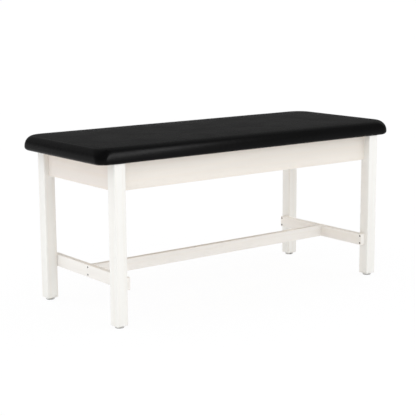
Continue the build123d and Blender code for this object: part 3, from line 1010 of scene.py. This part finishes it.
def hex_form(width, height, bore, edge):
    """Chamfered hexagon about Z, centred on height zero, with a bore unless it is zero."""
    bm = bmesh.new()
    radius = width / math.sqrt(3)
    bmesh.ops.create_cone(bm, cap_ends=True, segments=6, radius1=radius, radius2=radius, depth=height)
    rims = [side for side in bm.edges if abs(side.verts[0].co.z - side.verts[1].co.z) < WELD]
    bmesh.ops.bevel(bm, geom=rims, offset=edge, segments=2, profile=0.5, affect="EDGES", material=-1)
    if not bore:
        return bm
    drill = bmesh.new()
    bmesh.ops.create_cone(drill, cap_ends=True, segments=28, radius1=bore, radius2=bore, depth=height * 2)
    return cut_away(bm, drill)


STAPLE_EDGE_SHARE = 0.22


def staple_form(crown, wire, drop):
    """Staple about Z with its crown's outside at height zero and its two legs upwards."""
    bm = bmesh.new()
    bars = [((crown, wire, wire), (0, 0, wire / 2))]
    for side in (-1, 1):
        place = (side * (crown - wire) / 2, 0, (drop + wire / 2) / 2)
        bars.append(((wire, wire, drop - wire / 2), place))
    for size, place in bars:
        bar = bmesh.ops.create_cube(bm, size=1.0)["verts"]
        bmesh.ops.scale(bm, verts=bar, vec=size)
        bmesh.ops.translate(bm, verts=bar, vec=place)
    bmesh.ops.bevel(
        bm, geom=bm.edges[:], offset=wire * STAPLE_EDGE_SHARE, segments=1, profile=0.5, affect="EDGES",
        material=-1,
    )
    return bm


class EXAMTABLE_OT_staples(bpy.types.Operator):
    """Makes the staples that hold the vinyl's return"""

    bl_idname = "exam_table.staples"
    bl_label = "Staples"

    def execute(self, context):
        bm = bmesh.new()
        for low, high in solid_boxes("cover_staples"):
            size = high - low
            form = staple_form(max(size.x, size.y), min(size.x, size.y), size.z)
            middle = (low + high) / 2
            place = Matrix.Translation((middle.x, middle.y, low.z))
            if size.y >= size.x:
                place = place @ Matrix.Rotation(math.pi / 2, 4, "Z")
            add_to(bm, form, place)
            form.free()
        zinc = steel_material("staple_wire", HARDWARE.zinc_colour, 0.36)
        detailed("cover_staples", bm, "root", zinc)
        return {"FINISHED"}


class EXAMTABLE_OT_levelling_feet(bpy.types.Operator):
    """Makes the levelling feet and their stems, and finishes the inserts"""

    bl_idname = "exam_table.levelling_feet"
    bl_label = "Levelling feet"

    def execute(self, context):
        nylon_colour, tread_colour = HARDWARE.nylon_colour, HARDWARE.tread_colour
        nylon = moulded_material("white_nylon", nylon_colour, tinted(nylon_colour, 0.88), 0.4)
        # The dark disc under each foot makes the foot's lowest rim dark.
        tread_finish = moulded_material("black_rubber", tread_colour, tinted(tread_colour, 2.2), 0.65)
        zinc = steel_material("stem_zinc", HARDWARE.zinc_colour, 0.3)
        kinds = (
            ("foot_base", foot_form(), "foot", "white_nylon", nylon),
            ("foot_pad", tread_form(), "foot", "black_rubber", tread_finish),
            ("foot_stem", stem_form(), "stem", "zinc_steel", zinc),
        )
        for corner in CORNERS:
            low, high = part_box(f"foot_base_{corner}")
            place = Matrix.Translation(((low.x + high.x) / 2, (low.y + high.y) / 2, TREAD_LOW.z))
            for kind, form, body, slot, material in kinds:
                bm = bmesh.new()
                add_to(bm, form, place)
                detailed(f"{kind}_{corner}", bm, f"{body}_{corner}", material)
        for _, form, _, _, _ in kinds:
            form.free()
        dress(("foot_inserts",), zinc)
        return {"FINISHED"}


FOOT_NECK = 5.2 * MM
FOOT_STEPS = 96
FLUTE_STEPS = 4
FLUTE_DEPTH = 0.4 * MM
TREAD_STEPS = 72
TREAD_GROOVE = 0.4 * MM
TREAD_EDGE = 0.6 * MM
# The tread's ribs, from its middle outwards: shares of its radius and of its grooves' depth.
TREAD_RIB_SHARES = ((0, 1), (0.35, 1), (0.38, 0), (0.62, 0), (0.64, 1), (0.7, 1), (0.72, 0))
STEM_STEPS = 24
STEM_RADIUS = 4.75 * MM
STEM_CORE_SHARE = 0.84
STEM_THREAD_START = 3.2 * MM
STEM_THREAD_LOSS = 5 * MM
COLLAR_WIDTH = 17 * MM
COLLAR_HEIGHT = 3 * MM
COLLAR_EDGE = 0.5 * MM


def foot_form():
    """Moulded foot: grip flutes round its rim, a stepped shoulder and the neck that holds the stem."""
    rim = (FOOT_HIGH.x - FOOT_LOW.x) / 2
    base = FOOT_LOW.z - TREAD_LOW.z
    top = FOOT_HIGH.z - TREAD_LOW.z
    underside = [(0, base), (rim - 0.5 * MM, base), (rim, base + 0.4 * MM)]
    shoulder = [(rim, top - 3.0 * MM), (rim - 0.4 * MM, top - 2.5 * MM), (rim - 2.6 * MM, top - 1.2 * MM)]
    step = [(rim * 0.66, top - 0.7 * MM), (rim * 0.58, top - 0.2 * MM), (rim * 0.54, top)]
    socket = [(FOOT_NECK + 0.3 * MM, top), (FOOT_NECK, top - 0.3 * MM), (FOOT_NECK, top - 1.5 * MM)]
    socket.append((0, top - 1.5 * MM))
    bm = spun(underside + shoulder + step + socket, FOOT_STEPS)
    for vert in bm.verts:
        radius = vert.co.xy.length
        number = round(math.atan2(vert.co.y, vert.co.x) / math.tau * FOOT_STEPS) % FLUTE_STEPS
        if radius > rim - FLUTE_DEPTH / 2 and number < FLUTE_STEPS / 2:
            vert.co.xy *= (radius - FLUTE_DEPTH) / radius
    return bm


def tread_form():
    """Dark disc under the foot, ribbed where it stands on the floor."""
    rim = (TREAD_HIGH.x - TREAD_LOW.x) / 2
    thick = TREAD_HIGH.z - TREAD_LOW.z
    ribs = [(rim * reach, TREAD_GROOVE * rise) for reach, rise in TREAD_RIB_SHARES]
    side = [(rim - TREAD_EDGE, 0), (rim, TREAD_EDGE), (rim, thick), (0, thick)]
    return spun(ribs + side, TREAD_STEPS)


def stem_form():
    """Threaded levelling stem with its hexagon collar, from the foot's socket up."""
    base = STEM_LOW.z - TREAD_LOW.z
    top = STEM_HIGH.z - TREAD_LOW.z
    foot_top = FOOT_HIGH.z - TREAD_LOW.z
    core = STEM_RADIUS * STEM_CORE_SHARE
    head = [(0, base), (6.6 * MM, base), (7 * MM, base + 0.4 * MM), (7 * MM, base + 2.0 * MM)]
    head.append((6.6 * MM, base + 2.4 * MM))
    shank = [(core, base + 2.4 * MM), (core, top - 1 * MM), (core - 1 * MM, top), (0, top)]
    bm = spun(head + shank, STEM_STEPS)
    collar = hex_form(COLLAR_WIDTH, COLLAR_HEIGHT, 0, COLLAR_EDGE)
    add_to(bm, collar, Matrix.Translation((0, 0, foot_top + COLLAR_HEIGHT / 2)))
    collar.free()
    thread_length = top - foot_top - STEM_THREAD_LOSS
    thread = threaded(core, STEM_RADIUS, HARDWARE.stem_pitch, thread_length, STEM_STEPS)
    add_to(bm, thread, Matrix.Translation((0, 0, foot_top + STEM_THREAD_START)))
    thread.free()
    return bm


def floor_material():
    """White floor that keeps a trace of the table's shadow."""
    material = bpy.data.materials.new("studio_floor")
    material.use_nodes = True
    tree = material.node_tree
    surface = tree.nodes["Principled BSDF"]
    surface.inputs["Base Color"].default_value = opaque(STAGE.floor_colour)
    surface.inputs["Roughness"].default_value = 0.9
    surface.inputs["Specular IOR Level"].default_value = 0.0
    path = new_node(tree, "ShaderNodeLightPath").outputs
    rays = {0: path["Is Glossy Ray"], 1: path["Is Transmission Ray"]}
    mirrored = new_node(tree, "ShaderNodeMath", rays, operation="MAXIMUM").outputs[0]
    rays = {0: path["Is Camera Ray"], 1: mirrored}
    seen = new_node(tree, "ShaderNodeMath", rays, operation="MAXIMUM").outputs[0]
    share = new_node(tree, "ShaderNodeMath", {0: seen, 1: STAGE.floor_glow}, operation="MULTIPLY").outputs[0]
    glow = new_node(tree, "ShaderNodeEmission", {"Color": WHITE}).outputs[0]
    blend = new_node(tree, "ShaderNodeMixShader", {0: share, 1: surface.outputs[0], 2: glow}).outputs[0]
    tree.links.new(blend, tree.nodes["Material Output"].inputs["Surface"])
    return material


def room_world():
    """Even light from all round, a dim room for glossy faces to mirror and a white one for the camera."""
    world = bpy.data.worlds.new("studio")
    world.use_nodes = True
    tree = world.node_tree
    fill = tree.nodes["Background"]
    room, backdrop = [tree.nodes.new("ShaderNodeBackground") for _ in range(2)]
    levels = ((fill, STAGE.fill_strength), (room, STAGE.room_strength), (backdrop, STAGE.backdrop_strength))
    for part, strength in levels:
        part.inputs["Color"].default_value = WHITE
        part.inputs["Strength"].default_value = strength
    path = new_node(tree, "ShaderNodeLightPath").outputs
    parts = {0: path["Is Glossy Ray"], 1: fill.outputs[0], 2: room.outputs[0]}
    unseen = new_node(tree, "ShaderNodeMixShader", parts).outputs[0]
    parts = {0: path["Is Camera Ray"], 1: unseen, 2: backdrop.outputs[0]}
    blend = new_node(tree, "ShaderNodeMixShader", parts).outputs[0]
    tree.links.new(blend, tree.nodes["World Output"].inputs["Surface"])
    bpy.context.scene.world = world


def linked_lamp(name, kind):
    """New lamp of a kind, in the scene."""
    lamp = bpy.data.objects.new(name, bpy.data.lights.new(name, kind))
    bpy.context.scene.collection.objects.link(lamp)
    return lamp


# Each light from a wide part of the room: its bearing from +X towards +Y, its rise and its width in degrees,
# its strength, and whether glossy faces mirror it.
WIDE_LAMPS = (
    ("left_light", 190, 12, 70, 0.34, False),
    ("left_rear_light", 165, 40, 90, 0.6, False),
    ("rear_light", 110, 45, 80, 0.576, True),
    ("right_light", 0, 45, 60, 0.504, True),
    ("front_right_light", 325, 15, 90, 0.42, True),
    ("front_light", 270, 38, 90, 0.88, False),
)


def wide_lamp(name, bearing, rise, width, strength, mirrored):
    """Light from a wide part of the room."""
    lamp = linked_lamp(name, "SUN")
    lamp.data.angle = math.radians(width)
    lamp.data.energy = strength
    lamp.visible_glossy = mirrored
    bearing, rise = math.radians(bearing), math.radians(rise)
    level = math.cos(rise)
    aim = -Vector((math.cos(bearing) * level, math.sin(bearing) * level, math.sin(rise)))
    lamp.rotation_euler = aim.to_track_quat("-Z", "Y").to_euler()


SOFTBOX_PLACE = Vector((0.4, -2.33, 1.2))
SOFTBOX_AIM = Vector((-0.6, -0.36, 0.81))
SOFTBOX_SIZE = (1.4, 0.5)
SOFTBOX_ROLL = math.radians(35)
SOFTBOX_POWER = 28


def softbox():
    """Long tilted softbox that shows in reflections only, as the light along the pad's front shoulder."""
    lamp = linked_lamp("tilted_softbox", "AREA")
    lamp.data.shape = "RECTANGLE"
    lamp.data.size, lamp.data.size_y = SOFTBOX_SIZE
    lamp.data.energy = SOFTBOX_POWER
    lamp.visible_diffuse = False
    lamp.location = SOFTBOX_PLACE
    turn = (SOFTBOX_AIM - SOFTBOX_PLACE).to_track_quat("-Z", "Y").to_matrix()
    lamp.rotation_euler = (turn @ Matrix.Rotation(SOFTBOX_ROLL, 3, "Z")).to_euler()


SENSOR_WIDTH = 36
CAMERA_REACH = 2000


def photo_camera():
    """Camera at its fitted place."""
    data = bpy.data.cameras.new("photo_camera")
    data.sensor_width = SENSOR_WIDTH
    data.sensor_fit = "HORIZONTAL"
    data.lens = STAGE.camera_lens
    data.clip_end = CAMERA_REACH
    camera = bpy.data.objects.new("photo_camera", data)
    bpy.context.scene.collection.objects.link(camera)
    turn = Euler((math.pi / 2 + STAGE.camera_pitch, 0, -STAGE.camera_yaw), "XYZ").to_matrix()
    turn = turn @ Matrix.Rotation(STAGE.camera_roll, 3, "Z")
    camera.matrix_world = Matrix.Translation(STAGE.camera_place) @ turn.to_4x4()
    return camera


class EXAMTABLE_OT_stage(bpy.types.Operator):
    """Sets the floor, lamps, world and camera"""

    bl_idname = "exam_table.stage"
    bl_label = "Stage"

    def execute(self, context):
        scene = context.scene
        scene.view_settings.view_transform = "Standard"
        bm = bmesh.new()
        bmesh.ops.create_grid(bm, x_segments=1, y_segments=1, size=STAGE.floor_reach)
        floor = link_object("studio_floor", finished_mesh("studio_floor", bm))
        floor.data.materials.append(floor_material())
        room_world()
        for lamp in WIDE_LAMPS:
            wide_lamp(*lamp)
        softbox()
        scene.camera = photo_camera()
        return {"FINISHED"}


class EXAMTABLE_PT_sidebar(bpy.types.Panel):
    """Sidebar panel that lists the exam table's pieces"""

    bl_idname = "EXAMTABLE_PT_sidebar"
    bl_label = "Exam table"
    bl_space_type = "VIEW_3D"
    bl_region_type = "UI"
    bl_category = "Exam table"

    def draw(self, context):
        for operator in OPERATORS:
            self.layout.operator(operator.bl_idname)


SETTINGS = (
    ("exam_table_pad", PadLooks),
    ("exam_table_wood", WoodLooks),
    ("exam_table_hardware", HardwareLooks),
    ("exam_table_stage", StageLooks),
)
OPERATORS = (
    EXAMTABLE_OT_stage,
    EXAMTABLE_OT_upholstered_pad,
    EXAMTABLE_OT_foam_core,
    EXAMTABLE_OT_wood_base,
    EXAMTABLE_OT_inner_pieces,
    EXAMTABLE_OT_wood_screws,
    EXAMTABLE_OT_corner_hardware,
    EXAMTABLE_OT_staples,
    EXAMTABLE_OT_levelling_feet,
)


def register():
    """Registers the settings, operators and panel."""
    for name, group in SETTINGS:
        bpy.utils.register_class(group)
        setattr(bpy.types.Scene, name, bpy.props.PointerProperty(type=group))
    for item in (*OPERATORS, EXAMTABLE_PT_sidebar):
        bpy.utils.register_class(item)


def unregister():
    """Removes what register added."""
    for item in (EXAMTABLE_PT_sidebar, *reversed(OPERATORS)):
        bpy.utils.unregister_class(item)
    for name, group in reversed(SETTINGS):
        delattr(bpy.types.Scene, name)
        bpy.utils.unregister_class(group)


def main():
    """Builds the stage and every piece."""
    global PAD, WOOD, HARDWARE, STAGE
    register()
    scene = bpy.context.scene
    PAD, WOOD = scene.exam_table_pad, scene.exam_table_wood
    HARDWARE, STAGE = scene.exam_table_hardware, scene.exam_table_stage
    for operator in OPERATORS:
        group, name = operator.bl_idname.split(".")
        getattr(getattr(bpy.ops, group), name)()


if __name__ == "__main__":
    main()
